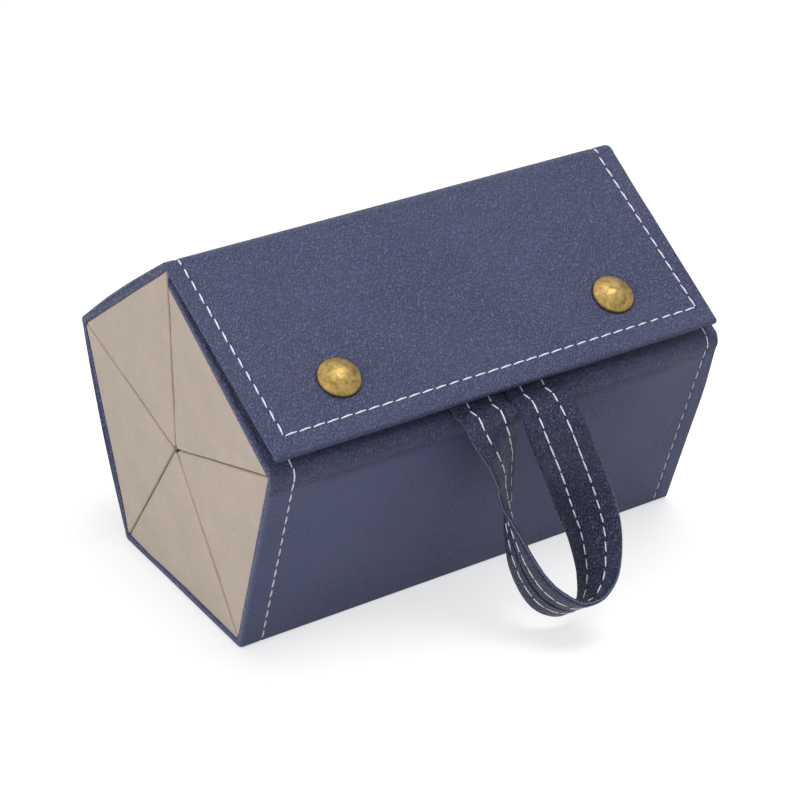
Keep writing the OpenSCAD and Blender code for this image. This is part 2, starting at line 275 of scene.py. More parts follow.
def sliced(bm, direction, places):
    """Cuts a mesh across, so that it can bend and crease at these places."""
    for place in places:
        bmesh.ops.bisect_plane(bm, geom=bm.verts[:] + bm.edges[:] + bm.faces[:], dist=0.0001,
                               plane_co=Vector(direction) * place, plane_no=direction)


def spaced(start, end, step):
    count = max(1, round((end - start) / step))
    return [start + (end - start) * i / count for i in range(count + 1)]


def stitch_slices(bm):
    """Cuts along both rows of stitches, and across the length of the case."""
    rows = [end * (half_length - stitch_inset + o) for end in (-1, 1) for o in (-row_width, 0, row_width)]
    sliced(bm, (1, 0, 0), rows + spaced(-72, 72, stitch_pitch) + [-83.3, -81.6, -75, 75, 81.6, 83.3])


def smoothly(t):
    t = max(0.0, min(1.0, t))
    return t * t * (3 - 2 * t)


def cover_seam(end, place):
    """How far from the middle of the case the stitches run. Each row drifts a little
    on its way round the back."""
    angle = degrees(atan2(place.y - middle.y, place.x - middle.x))
    round_back = max(0.0, min(1.0, (90 - angle) / 144)) if -60 < angle < 90 else 1.0
    start, finish = {-1: (80.4, 77.0), 1: (78.6, 80.5)}[end]
    return start + (finish - start) * round_back


def pull_in_stitches(bm, outward, seam):
    """The thread pulls the leather in along both rows."""
    bm.normal_update()
    row = half_length - stitch_inset
    for v in bm.verts:
        if abs(abs(v.co.x) - row) < 0.05 and v.normal @ outward(v.co) > 0.3:
            v.co -= v.normal * stitch_pull
    for v in bm.verts:
        end, reach = (1 if v.co.x > 0 else -1), abs(v.co.x)
        hold = min(1.0, (half_length - reach) / 4.8, (reach - 68) / 9.8)
        if hold > 0:
            v.co.x += end * (seam(end, v.co.yz) - row) * hold


def from_middle(co):
    return Vector((0, co.y - middle.x, co.z - middle.y)).normalized()


def scaled(tree, value, factor, plus):
    """value * factor + plus, where plus is a number or comes from another node."""
    node = add(tree, "ShaderNodeMath", operation="MULTIPLY_ADD")
    tree.links.new(value, node.inputs[0])
    node.inputs[1].default_value = factor
    if isinstance(plus, float):
        node.inputs[2].default_value = plus
    else:
        tree.links.new(plus, node.inputs[2])
    return node.outputs[0]


def ranged(tree, value, start, end, low=0.0, high=1.0, kind="LINEAR"):
    """A value that goes from low to high as another goes from start to end."""
    node = add(tree, "ShaderNodeMapRange", interpolation_type=kind,
               From_Min=start, From_Max=end, To_Min=low, To_Max=high)
    tree.links.new(value, node.inputs["Value"])
    return node.outputs[0]


def bumped(tree, surface, height, distance, strength=1.0):
    """Gives a surface a fine relief, and returns its strength's socket."""
    node = add(tree, "ShaderNodeBump", Strength=strength, Distance=distance)
    tree.links.new(height, node.inputs["Height"])
    tree.links.new(node.outputs[0], surface.inputs["Normal"])
    return node.inputs["Strength"]


def leather_material(name, tone, deep, grain=1.0, relief=1.0, shine=0.44, gloss=0.2):
    """Pebbled calf leather: small soft cells, longer round the case than along it, with
    creases between them painted darker as shade, fine pores, and slow random changes of tone."""
    material, tree, surface = new_material(name)
    links = tree.links.new
    where = add(tree, "ShaderNodeTexCoord").outputs["Object"]
    warp = add(tree, "ShaderNodeTexNoise", Scale=420.0, Detail=2.0)
    links(where, warp.inputs["Vector"])
    push = add(tree, "ShaderNodeVectorMath", operation="MULTIPLY_ADD")
    push.inputs[1].default_value = (0.0014, 0.0014, 0.0014)
    links(warp.outputs["Color"], push.inputs[0])
    links(where, push.inputs[2])
    lie = add(tree, "ShaderNodeMapping")
    lie.inputs["Rotation"].default_value = (0.0, 0.22, 0.3)
    lie.inputs["Scale"].default_value = (1.1, 0.5, 0.5)
    links(push.outputs[0], lie.inputs["Vector"])
    cells = add(tree, "ShaderNodeTexVoronoi", feature="DISTANCE_TO_EDGE", Scale=900.0 * grain)
    links(lie.outputs[0], cells.inputs["Vector"])
    crease = ranged(tree, cells.outputs["Distance"], 0.0, 0.2, kind="SMOOTHSTEP")
    pores = noisy(tree, where, Scale=2600.0, Detail=2.0)
    folds = noisy(tree, lie.outputs[0], Scale=560.0 * grain, Detail=3.0)
    height = scaled(tree, folds, 2.2, scaled(tree, pores, 0.25, crease))
    stretch = add(tree, "ShaderNodeVertexColor", layer_name="stretch").outputs["Color"]
    strength = bumped(tree, surface, height, 0.0006)
    links(scaled(tree, stretch, -0.8 * relief, 0.9 * relief), strength)
    cloud = noisy(tree, where, Scale=26.0, Detail=2.0)
    # Painted shade: the creases take the darker colour; the slow cloud changes the tone at random.
    span = ranged(tree, scaled(tree, crease, 0.55, cloud), 0.2, 0.95)
    links(colour_ramp(tree, span, deep, tone), surface.inputs["Base Color"])
    links(ranged(tree, span, 0.0, 1.0, shine + 0.1, shine - 0.06), surface.inputs["Roughness"])
    links(scaled(tree, stretch, -0.35 * gloss, gloss), surface.inputs["Specular IOR Level"])
    surface.inputs["Specular Tint"].default_value = (0.72, 0.8, 1.0, 1)
    return material


navy_leather = leather_material("navy_leather", (0.106, 0.117, 0.212), (0.064, 0.073, 0.15), 1.4)

outline = [
    meet(side_line(BOTTOM, 0), split_line(BOTTOM, -fold_zone)),
    meet(side_line(BOTTOM, 0), side_line(FRONT_WALL, 0)),
    shoulder,
    meet(side_line(FRONT_ROOF, 0), split_line(REAR_ROOF, roof_edge)),
    meet(side_line(FRONT_ROOF, board), split_line(REAR_ROOF, roof_edge)),
    meet(side_line(FRONT_ROOF, board), side_line(FRONT_WALL, board)),
    meet(side_line(BOTTOM, board), side_line(FRONT_WALL, board)),
    meet(side_line(BOTTOM, board), split_line(BOTTOM, -fold_zone))]
bm = drawn_out(outline, -half_length, half_length)
rounded(bm, long_edges(bm, outline[1]), toe_bend, 6)
rounded(bm, long_edges(bm, shoulder), shoulder_bend, 12)
rounded(bm, rim_edges(bm, [split_line(BOTTOM, -fold_zone)]), rim, 4)
stitch_slices(bm)
sliced(bm, (1, 0, 0), spaced(-84, 84, 1.75))
for side, ends in ((BOTTOM, (4, 74)), (FRONT_WALL, (4, 73)), (FRONT_ROOF, (5, 74))):
    turn = side_turn * side if side != FRONT_ROOF else roof_turn
    along = Vector((0, *polar(1, turn)))
    first = {BOTTOM: outline[1], FRONT_WALL: shoulder, FRONT_ROOF: outline[3]}[side]
    base = along.yz @ first
    places = [base + s for s in spaced(ends[0], ends[1], 6.5)]
    if side == FRONT_WALL:
        places += [base + s for s in (2.6, 5.2, 6.2, 7.0, 7.8, 8.6, 9.6, 11.5)]
    geom = [f for f in bm.faces if off_side(f.calc_center_median(), side) < 3.2]
    for place in places:
        parts = [f for f in geom if f.is_valid]
        parts += list({e for f in parts for e in f.edges}) + list({v for f in parts for v in f.verts})
        cut = bmesh.ops.bisect_plane(bm, geom=parts, dist=0.0001, plane_co=along * place, plane_no=along)
        geom = [f for f in cut["geom"] if isinstance(f, bmesh.types.BMFace)]
pull_in_stitches(bm, from_middle, cover_seam)
stretch = bm.verts.layers.float_color.new("stretch")
wall_down = (outline[1] - shoulder).normalized()
for v in bm.verts:
    near = smoothly(1 - (v.co.yz - shoulder).length / 10)
    far = (smoothly(((v.co.yz - outline[1]).length - 3) / 10)
           * smoothly(((v.co.yz - outline[0]).length - 3) / 10))
    down = (v.co.yz - shoulder) @ wall_down
    on_wall = off_side(v.co, FRONT_WALL) < 1.2
    taut = smoothly((down - 6.5) / 3) if on_wall and down > 0 else 0.0
    v[stretch] = (taut, taut, taut, 1)
    if v.normal @ from_middle(v.co) < 0.3:
        continue
    wrinkle = (noise.noise((v.co.x / 5.5, v.co.y / 3, v.co.z / 3))
               + 0.5 * noise.noise((v.co.x / 2.4, v.co.y / 2, v.co.z / 2)))
    wave = noise.noise(v.co / wave_size)
    roll = 0.0
    if on_wall:
        uneven = 1 + 0.5 * noise.noise((v.co.x / 14, 0, 5))
        roll = 0.3 * smoothly(down / 3) * smoothly((6.6 - down) / 3)
        roll -= 0.5 * smoothly(1 - abs(down - 7.4) / 1.9)
        roll *= uneven * smoothly((77 - abs(v.co.x)) / 18)
    v.co += v.normal * (roll + 0.30 * near * wrinkle + wave_height * far * wave)
# The cover's right edge stands a little proud of the trays in front.
right_overhang, last_stitch_side = 1.8, 81.6
for v in bm.verts:
    round_front = smoothly((shoulder.y + 3 - v.co.z) / 30) * smoothly((25 - v.co.y) / 40)
    v.co.x += right_overhang * smoothly((v.co.x - last_stitch_side) / 3.2) * round_front
front_cover = mesh_object(bm, "front_cover", navy_leather)
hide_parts("front_cover_leather", "bottom_board", "front_wall_board", "front_roof_board")
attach(front_cover, "case_base")

# ---- Rear wall and rear roof ----
# Two more stiff panels in the same leather. They swing away from the roll, so
# each is a piece of its own between the folds.

panel_crown = 0.8


def flat_panel(name, outline, skip, body, *nodes):
    bm = drawn_out(outline, -half_length, half_length)
    rounded(bm, rim_edges(bm, skip), rim, 4)
    stitch_slices(bm)
    along = (outline[1] - outline[0]).normalized()
    across = Vector((0, *along))
    length = (outline[1] - outline[0]).length
    base = along @ outline[0]
    sliced(bm, across, [base + s for s in spaced(3, length - 3, 6.5)])
    pull_in_stitches(bm, from_middle, cover_seam)
    for v in bm.verts:
        place = v.co.yz @ along - base
        calm = smoothly((place - 2) / 9) * smoothly((length - 2 - place) / 9)
        if v.normal @ from_middle(v.co) > 0.3:
            wave = wave_height * calm * noise.noise(v.co / wave_size)
            v.co += v.normal * (wave + panel_crown * sin(pi * place / length))
    piece = mesh_object(bm, name, navy_leather)
    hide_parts(*nodes)
    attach(piece, body)


flat_panel("rear_wall_cover", [
    meet(side_line(REAR_WALL, 0), split_line(BOTTOM, fold_zone)),
    meet(side_line(REAR_WALL, 0), split_line(REAR_WALL, -fold_zone)),
    meet(side_line(REAR_WALL, board), split_line(REAR_WALL, -fold_zone)),
    meet(side_line(REAR_WALL, board), split_line(BOTTOM, fold_zone))],
    [split_line(BOTTOM, fold_zone), split_line(REAR_WALL, -fold_zone)],
    "rear_wall", "rear_wall_leather", "rear_wall_board")

ridge_zone = 2.9
ridge_line = (ridge_normal, (ridge - middle) @ polar(1, ridge_normal))
ridge_rear = (ridge_normal, ridge_line[1] - ridge_zone)
ridge_front = (ridge_normal, ridge_line[1] + ridge_zone)
flap_line = (flap_turn - 90, (ridge - middle) @ polar(1, flap_turn - 90))
flat_panel("rear_roof_cover", [
    meet(side_line(REAR_ROOF, 0), split_line(REAR_WALL, fold_zone)),
    meet(side_line(REAR_ROOF, 0), ridge_rear),
    meet(side_line(REAR_ROOF, board), ridge_rear),
    meet(side_line(REAR_ROOF, board), split_line(REAR_WALL, fold_zone))],
    [split_line(REAR_WALL, fold_zone), ridge_rear],
    "rear_roof", "rear_roof_leather", "rear_roof_board")

# ---- Folds ----
# The leather goes on from panel to panel without a seam. At each corner that
# opens there is no board in it, so the leather bends there as a hinge; each is built as a rounded strip, fixed
# in place.


corner_bend, ridge_bend, ridge_depth = 1.4, 2.4, 3.3


def fold_strip(name, outline, corner, width, skip, bodies, start, end, *nodes):
    bm = drawn_out(outline, -half_length, half_length)
    rounded(bm, long_edges(bm, corner), width, 8)
    rounded(bm, rim_edges(bm, skip), rim, 4)
    stitch_slices(bm)
    pull_in_stitches(bm, from_middle, cover_seam)
    piece = mesh_object(bm, name, navy_leather)
    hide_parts(*nodes)
    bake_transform(piece)


for name, side, bodies in (("lower_rear_crease", BOTTOM, ("case_base", "rear_wall")),
                           ("upper_rear_crease", REAR_WALL, ("rear_wall", "rear_roof"))):
    before, after = split_line(side, -fold_zone), split_line(side, fold_zone)
    corner = meet(side_line(side, 0), side_line(side + 1, 0))
    across = polar(fold_zone, before[0]) * 0.001
    place = middle * 0.001
    fold_strip(name, [
        meet(side_line(side, 0), before), corner, meet(side_line(side + 1, 0), after),
        meet(side_line(side + 1, board), after),
        meet(side_line(side, board), side_line(side + 1, board)),
        meet(side_line(side, board), before)],
        corner, corner_bend, [before, after], bodies,
        (0, place.x - across.x, place.y - across.y), (0, place.x + across.x, place.y + across.y),
        {"lower_rear_crease": "lower_rear_fold", "upper_rear_crease": "upper_rear_fold"}[name])

# The ridge is built in two halves, split along it: one on the rear roof's side and
# one on the flap's. The leather bends at both when the flap folds right back over the buttons.
ridge_in = polar(1, ridge_normal + 90)


def half_ridge(name, rear, bodies, *nodes):
    outline = [
        meet(side_line(REAR_ROOF, 0), ridge_rear), ridge, meet(flap_line, ridge_front),
        meet((flap_line[0], flap_line[1] - board), ridge_front), ridge + ridge_in * ridge_depth,
        meet(side_line(REAR_ROOF, board), ridge_rear)]
    bm = drawn_out(outline, -half_length, half_length)
    rounded(bm, long_edges(bm, ridge), ridge_bend, 10)
    rounded(bm, rim_edges(bm, [ridge_rear, ridge_front]), rim, 4)
    across = Vector((0, *polar(1, ridge_normal)))
    cut = bmesh.ops.bisect_plane(bm, geom=bm.verts[:] + bm.edges[:] + bm.faces[:], dist=0.0001,
                                 plane_co=Vector((0, *ridge)), plane_no=across,
                                 clear_outer=rear, clear_inner=not rear)
    bmesh.ops.edgeloop_fill(bm, edges=[e for e in cut["geom_cut"] if isinstance(e, bmesh.types.BMEdge)])
    bmesh.ops.recalc_face_normals(bm, faces=bm.faces)
    sliced(bm, across, [across.yz @ ridge + o for o in (-1.9, -0.9, 0.9, 1.9)])
    stitch_slices(bm)
    pull_in_stitches(bm, from_middle, cover_seam)
    piece = mesh_object(bm, name, navy_leather)
    if nodes:
        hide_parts(*nodes)
    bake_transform(piece)


half_ridge("ridge_rear_crease", True, ("rear_roof", "ridge"), "ridge_strip")
half_ridge("ridge_front_crease", False, ("ridge", "flap"))

# ---- Flap ----
# The same leather over a thinner board, with sharp turned edges. It comes over
# the ridge and lies on the front roof. A smooth lining backs it.

flap_length = 75.5
hem = flap_length - 7.1
flap_rim, flap_skin, lining_thick = 0.95, 2.55, 0.5
flap_taper, right_taper = 1.3, 2.1
untapered = 3.5
flap_out = polar(1, flap_turn - 90)
flap_down = polar(1, flap_turn)
flap_end = (flap_turn, (ridge - middle) @ flap_down + flap_length)


def flap_depth(depth):
    return flap_line[0], flap_line[1] - depth


def flap_place(x, down, out):
    """A point on the flap: along the case, down from the ridge, and off its outer face."""
    place = ridge + flap_down * down + flap_out * out
    return Vector((x, place.x, place.y))


def flap_narrowing(down, end):
    taper = flap_taper if end < 0 else right_taper
    return 1 - taper / half_length * max(0.0, (down - untapered) / (flap_length - untapered))


def taper_flap(bm):
    """The flap is trimmed a little narrower towards its lower edge."""
    for v in bm.verts:
        v.co.x *= flap_narrowing((v.co.yz - ridge) @ flap_down, v.co.x)


def flap_seam(end, place):
    down = (place - ridge) @ flap_down
    start, finish = {-1: (80.4, 77.8), 1: (78.4, 78.0)}[end]
    return (start + (finish - start) * down / hem) / flap_narrowing(hem if down > hem else down, end)


outline = [meet(flap_line, ridge_front), meet(flap_line, flap_end),
           meet(flap_depth(flap_skin), flap_end), meet(flap_depth(flap_skin), ridge_front)]
bm = drawn_out(outline, -half_length, half_length)
rounded(bm, rim_edges(bm, [ridge_front]), flap_rim, 4)
stitch_slices(bm)
across = Vector((0, *flap_down))
base = flap_down @ ridge
sliced(bm, across, [base + s for s in spaced(7, hem - 3, 5)]
       + [base + hem + o for o in (-row_width, 0, row_width, 4.5, 6.2)])
bm.normal_update()
for v in bm.verts:
    down = (v.co.yz - ridge) @ flap_down
    if v.normal @ Vector((0, *flap_out)) < 0.3:
        continue
    v.co += v.normal * 0.13 * smoothly((down - 4) / 10) * noise.noise(v.co / 17)
    if abs(down - hem) < 0.1 and abs(v.co.x) < half_length - stitch_inset + 0.1:
        v.co -= Vector((0, *flap_out)) * stitch_pull
pull_in_stitches(
    bm, lambda co: Vector((0, *flap_out)) * (1 if (co.yz - ridge) @ flap_down < hem + 0.1 else -1), flap_seam)
taper_flap(bm)
flap = mesh_object(bm, "flap", navy_leather)
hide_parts("flap_leather", "flap_board")
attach(flap, "flap")

# The lining's darker colour is partly its own tone and partly painted shade under the flap.
lining_leather_and_hem_shade = leather_material(
    "navy_inner_leather", (0.05, 0.056, 0.105), (0.036, 0.041, 0.082), 1.6, 0.5, 0.55)
lining_inset = 0.9
lining_end = (flap_end[0], flap_end[1] - lining_inset)
lining_top, lining_bottom = flap_depth(board - lining_thick), flap_depth(board)
outline = [meet(lining_top, ridge_front), meet(lining_top, lining_end),
           meet(lining_bottom, lining_end), meet(lining_bottom, ridge_front)]
bm = drawn_out(outline, -half_length + lining_inset, half_length - lining_inset)
rounded(bm, rim_edges(bm, [ridge_front]), 0.22, 2)
taper_flap(bm)
lining = mesh_object(bm, "flap_lining_sheet", lining_leather_and_hem_shade)
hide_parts("flap_lining")
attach(lining, "flap")

# ---- Stitching ----
# Waxed pale thread in a single row, 4 to 8 mm in from both ends of the cover
# and 7 mm from the flap's lower edge. Each stitch dips into a needle hole at its ends.

thread, tree, surface = new_material("pale_waxed_thread")
where = add(tree, "ShaderNodeTexCoord")
twist = add(tree, "ShaderNodeTexWave", Scale=620.0, Distortion=1.5, bands_direction="DIAGONAL")
tree.links.new(where.outputs["Object"], twist.inputs["Vector"])
yarn = colour_ramp(tree, twist.outputs["Fac"], (0.7, 0.7, 0.78), (0.93, 0.93, 0.97))
tree.links.new(yarn, surface.inputs["Base Color"])
bumped(tree, surface, twist.outputs["Fac"], 0.0001, 0.5)
surface.inputs["Roughness"].default_value = 0.6

# The needle holes are small dark discs whose colour is painted shade inside each hole.
needle_hole_shade, tree, surface = new_material("needle_hole_shade")
hole_shade_noise = noisy(tree, add(tree, "ShaderNodeTexCoord").outputs["Object"], Scale=3000.0)
painted_shade = colour_ramp(tree, hole_shade_noise, (0.016, 0.018, 0.034), (0.03, 0.033, 0.058))
tree.links.new(painted_shade, surface.inputs["Base Color"])
surface.inputs["Roughness"].default_value = 0.9


def axes(place, along, out):
    out = (out - along * (out @ along)).normalized()
    side = out.cross(along)
    return Matrix((along, side, out)).transposed().to_4x4(), Matrix.Translation(place)


def stitch(bm, place, along, out, slant=0.06, length=4.4, dip=0.36, thick=0.31):
    """One stitch: a short round thread that rises between its two holes."""
    turn, move = axes(place, along, out)
    made = bmesh.ops.create_uvsphere(bm, u_segments=8, v_segments=5, radius=thick)["verts"]
    for v in made:
        if abs(v.co.x) > 0.05:
            v.co.x += (length / 2 - thick) * (1 if v.co.x > 0 else -1)
        v.co.z = v.co.z * 0.85 - dip * abs(v.co.x / (length / 2)) ** 3
        v.co.y += v.co.x * slant
    bmesh.ops.transform(bm, matrix=move @ turn, verts=made)


# A needle hole: a small flat dark disc, its colour painted shade.
def hole(bm, place, along, out):
    turn, move = axes(place, along, out)
    made = bmesh.ops.create_uvsphere(bm, u_segments=8, v_segments=4, radius=0.36)["verts"]
    bmesh.ops.scale(bm, vec=(0.7, 0.55, 0.3), verts=made)
    bmesh.ops.transform(bm, matrix=move @ turn, verts=made)
    for f in {f for v in made for f in v.link_faces}:
        f.material_index = 1


def bend(before, corner, after, width):
    """Points on the outer line of the cover where it goes round a corner."""
    a = corner + (before - corner).normalized() * width
    b = corner + (after - corner).normalized() * width
    return [a.lerp(corner, t).lerp(corner.lerp(b, t), t) for t in (0, 0.25, 0.5, 0.75, 1)]


stitch_sink, row_slant = 0.12, 0.07


def stitch_rows(bm, points, seam):
    """Stitches along a line of places, at both ends of the case."""
    lengths = [(b - a).length for a, b in zip(points, points[1:])]
    count = max(1, round(sum(lengths) / stitch_pitch))
    for i in range(2 * count + 1):
        reach, k = sum(lengths) * i / (2 * count), 0
        while k < len(lengths) - 1 and reach > lengths[k]:
            reach, k = reach - lengths[k], k + 1
        run = (points[k + 1] - points[k]).normalized()
        place = points[k] + run * reach
        out = Vector((run.y, -run.x))
        if out @ (place - middle) < 0:
            out = -out
        place = place - out * stitch_sink
        for end in (-1, 1):
            lie = Vector((end * seam(end, place), *place)), Vector((0, *run)), Vector((0, *out))
            if i % 2:
                stitch(bm, *lie, row_slant * end)
            else:
                hole(bm, *lie)


def sewn(name, bm, body):
    piece = mesh_object(bm, name, thread, needle_hole_shade)
    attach(piece, body)


toe = meet(side_line(BOTTOM, 0), side_line(FRONT_WALL, 0))
heel = meet(side_line(BOTTOM, 0), split_line(BOTTOM, -fold_zone))
eaves = meet(side_line(FRONT_ROOF, 0), split_line(REAR_ROOF, roof_edge))
bm = bmesh.new()
toe_clearance = 0.6
stitch_rows(bm, [heel, bend(heel, toe, shoulder, toe_bend + toe_clearance)[0]], cover_seam)
wall_foot = bend(heel, toe, shoulder, toe_bend)[-1]
stitch_rows(bm, [wall_foot, *bend(toe, shoulder, eaves, shoulder_bend), eaves], cover_seam)
sewn("front_cover_stitching", bm, "case_base")
for side, name, first, last in (
        (REAR_WALL, "rear_wall", split_line(BOTTOM, fold_zone), split_line(REAR_WALL, -fold_zone)),
        (REAR_ROOF, "rear_roof", split_line(REAR_WALL, fold_zone), ridge_rear)):
    start, finish = meet(side_line(side, 0), first), meet(side_line(side, 0), last)
    length = (finish - start).length
    points = []
    for reach in spaced(0, length, 4):
        crown = panel_crown * sin(pi * reach / length)
        points.append(start.lerp(finish, reach / length) + polar(crown, side_line(side, 0)[0]))
    bm = bmesh.new()
    stitch_rows(bm, points, cover_seam)
    sewn(f"{name}_stitching", bm, name)


def flap_row(end, place):
    return flap_seam(end, place) * flap_narrowing((place - ridge) @ flap_down, end)


bm = bmesh.new()
stitch_rows(bm, [meet(flap_line, ridge_front), ridge + flap_down * hem], flap_row)
start, finish = (end * flap_row(end, ridge + flap_down * hem) for end in (-1, 1))
count = 2 * round((finish - start) / stitch_pitch)
for i in range(1, count):
    place = flap_place(start + (finish - start) * i / count, hem, -stitch_sink)
    if i % 2:
        stitch(bm, place, Vector((1, 0, 0)), Vector((0, *flap_out)))
    else:
        hole(bm, place, Vector((1, 0, 0)), Vector((0, *flap_out)))
sewn("flap_stitching", bm, "flap")
# One shorter stitch at each end carries the flap's row on over the ridge.
bm = bmesh.new()
ridge_row, ridge_row_shift, ridge_sink, ridge_forward = 79.5, 0.9, 0.98, 1.3
lie = (polar(1, ridge_normal) + flap_down).normalized()
for end in (-1, 1):
    place = ridge + ridge_in * ridge_sink + polar(ridge_forward, ridge_normal)
    stitch(bm, Vector((end * ridge_row - ridge_row_shift, *place)), Vector((0, *lie)), Vector((0, *-ridge_in)),
           row_slant * end, 2.6, 0.2, 0.28)
sewn("ridge_stitching", bm, "ridge")

# ---- Tray ends ----
# Five three-sided trays fill the roll. Each is stiff board wrapped in beige
# microfibre with soft turned edges, and its ends close the ends of the case.

microfibre, tree, surface = new_material("beige_microfibre")
links = tree.links.new
where = add(tree, "ShaderNodeTexCoord").outputs["Object"]
nap = noisy(tree, where, Scale=330.0, Detail=6.0, Roughness=0.62, Distortion=0.6)
brushed = noisy(tree, where, Scale=90.0, Detail=3.0)
fibre = noisy(tree, where, Scale=3800.0, Detail=3.0)
beige = colour_ramp(tree, scaled(tree, nap, 0.4, brushed),
                    (0.535, 0.447, 0.374), (0.61, 0.512, 0.43), 0.35)
links(beige, surface.inputs["Base Color"])
bumped(tree, surface, scaled(tree, fibre, 0.25, nap), 0.0008, 0.9)
surface.inputs["Roughness"].default_value = 0.95
surface.inputs["Specular IOR Level"].default_value = 0.15
surface.inputs["Sheen Weight"].default_value = 0.12
surface.inputs["Sheen Roughness"].default_value = 0.5

tray_names = {BOTTOM: "bottom", REAR_WALL: "rear_wall", REAR_ROOF: "rear_roof",
              FRONT_ROOF: "front_roof", FRONT_WALL: "front_wall"}
tray_bodies = {BOTTOM: "case_base", REAR_WALL: "rear_wall", REAR_ROOF: "rear_roof",
               FRONT_ROOF: "case_base", FRONT_WALL: "case_base"}
tray_gap, tray_tip, tray_edge, tray_crown = 0.24, 1.2, 1.15, 0.3
tray_end_in = 82.4
tray_end_out = {BOTTOM: 84.6, REAR_WALL: 84.8, REAR_ROOF: 84.55, FRONT_ROOF: 84.25, FRONT_WALL: 84.2}


def wrapped_board(name, outline, start, end, edge, body, node, crown=0.0, step=7.0):
    """A stiff board under soft fabric: round edges, a slight crown and slow waves."""
    bm = drawn_out(outline, start, end)
    rounded(bm, rim_edges(bm), edge, 4)
    low = [min(v.co[k] for v in bm.verts) for k in range(3)]
    high = [max(v.co[k] for v in bm.verts) for k in range(3)]
    for k, direction in enumerate(((1, 0, 0), (0, 1, 0), (0, 0, 1))):
        if high[k] - low[k] > step:
            sliced(bm, direction, spaced(low[k] + 0.5 * step, high[k] - 0.5 * step, step))
    bmesh.ops.triangulate(bm, faces=[f for f in bm.faces if len(f.verts) > 4])
    bm.normal_update()
    centre = sum((v.co for v in bm.verts), Vector()) / len(bm.verts)
    for v in bm.verts:
        v.co += v.normal * 0.10 * noise.noise(v.co / 9 + centre)
        if crown and abs(v.co.x) > abs(end) - 0.3:
            bulge = noise.noise((v.co.y / 15, v.co.z / 15, centre.x + centre.y))
            v.co.x += crown * (1 if end > 0 else -1) * bulge
    piece = mesh_object(bm, name, microfibre)
    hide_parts(node)
    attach(piece, body)


def tray_outline(side, depth):
    near, far = split_line(side - 1, tray_gap), split_line(side, -tray_gap)
    base, top = side_line(side, depth), (side_turn * side - 90, tray_tip)
    return [meet(base, near), meet(base, far), meet(top, far), meet(top, near)]


for side, name in tray_names.items():
    outline = tray_outline(side, 0.35 if side == FRONT_WALL else board - 0.3)
    if side == FRONT_WALL:
        # This end reaches out over the cover's edge, so its two outer corners are trimmed.
        edge_run = (outline[1] - outline[0]).normalized()
        split_run = (outline[3] - outline[0]).normalized()
        tip_run = (outline[2] - outline[1]).normalized()
        upper_trim, lower_trim = 3.4, 1.5
        outline[0:2] = [outline[0] + split_run * upper_trim, outline[0] + edge_run * upper_trim,
                        outline[1] - edge_run * lower_trim, outline[1] + tip_run * lower_trim]
    reach = tray_end_out[side]
    for end, word in ((-1, "left"), (1, "right")):
        wrapped_board(f"{name}_tray_{word}_panel", outline, end * tray_end_in, end * reach, tray_edge,
                      tray_bodies[side], f"{name}_tray_{word}_end", tray_crown)

# ---- Tray insides ----
# Inside, each tray has a padded base, one fixed wall and one lid, all wrapped
# in the same microfibre. The two rear trays open as the roll does.

pad_thick, inner_tip = 1.5, 3.0
wall_outer, wall_inner, lid_zone = 0.4, 2.4, 2.7
lid_hinge_up, lid_hinge_in = 1.3, 1.4
lid_end = tray_end_in - 0.3
for side, name in tray_names.items():
    near, far = split_line(side - 1, lid_zone), split_line(side, -wall_inner)
    base, pad_top = side_line(side, board), side_line(side, board + pad_thick)
    wrapped_board(f"{name}_tray_base", [
        meet(base, near), meet(base, far), meet(pad_top, far), meet(pad_top, near)],
        -tray_end_in, tray_end_in, 0.6, tray_bodies[side], f"{name}_tray_pad")
    top, outside = (side_turn * side - 90, inner_tip), split_line(side, -wall_outer)
    wrapped_board(f"{name}_tray_fixed_wall", [
        meet(base, outside), meet(top, outside), meet(top, far), meet(base, far)],
        -tray_end_in, tray_end_in, 0.7, tray_bodies[side], f"{name}_tray_wall")
    hinge = meet(side_line(side, board + lid_hinge_up), split_line(side - 1, lid_hinge_in))
    lid_run, lid_side = polar(1, side_turn * side + 54), polar(1, side_turn * side + 144)
    reach = (meet(split_line(side - 1, wall_inner), split_line(side, -lid_zone)) - hinge) @ lid_run
    body = {"rear_wall": "rear_wall_lid", "rear_roof": "rear_roof_lid"}.get(name, "case_base")
    wrapped_board(f"{name}_tray_cover", [
        hinge - lid_run - lid_side, hinge - lid_run + lid_side,
        hinge + lid_run * reach + lid_side, hinge + lid_run * reach - lid_side],
        -lid_end, lid_end, 0.85, body, f"{name}_tray_lid")

# ---- Snap buttons ----
# A domed cap of antique brass, with painted shade darkening it round its edge,
# riveted through the flap near each end. A flat steel magnet backs it, and a low steel stud meets it on the
# roof.

button_spacing = 104.0
button_edge = 20.0
antique_brass, tree, surface = new_material("antique_brass")
links = tree.links.new
where = add(tree, "ShaderNodeTexCoord").outputs["Object"]
patches = noisy(tree, where, Scale=420.0, Detail=7.0, Roughness=0.75, Distortion=0.4)
wear = colour_ramp(tree, patches, (0.12, 0.078, 0.028), (0.41, 0.285, 0.1), 0.3, 0.58)
# Painted shade: the rim layer darkens the brass round the cap's edge.
rim_shade = add(tree, "ShaderNodeVertexColor", layer_name="rim")
shade = add(tree, "ShaderNodeMixRGB", blend_type="MULTIPLY")
shade.inputs["Fac"].default_value = 1.0
links(wear, shade.inputs["Color1"])
links(rim_shade.outputs["Color"], shade.inputs["Color2"])
links(shade.outputs["Color"], surface.inputs["Base Color"])
links(ranged(tree, patches, 0.35, 0.65, 0.58, 0.45), surface.inputs["Roughness"])
bumped(tree, surface, noisy(tree, where, Scale=1400.0, Detail=4.0), 0.0001, 0.16)
surface.inputs["Metallic"].default_value = 1.0

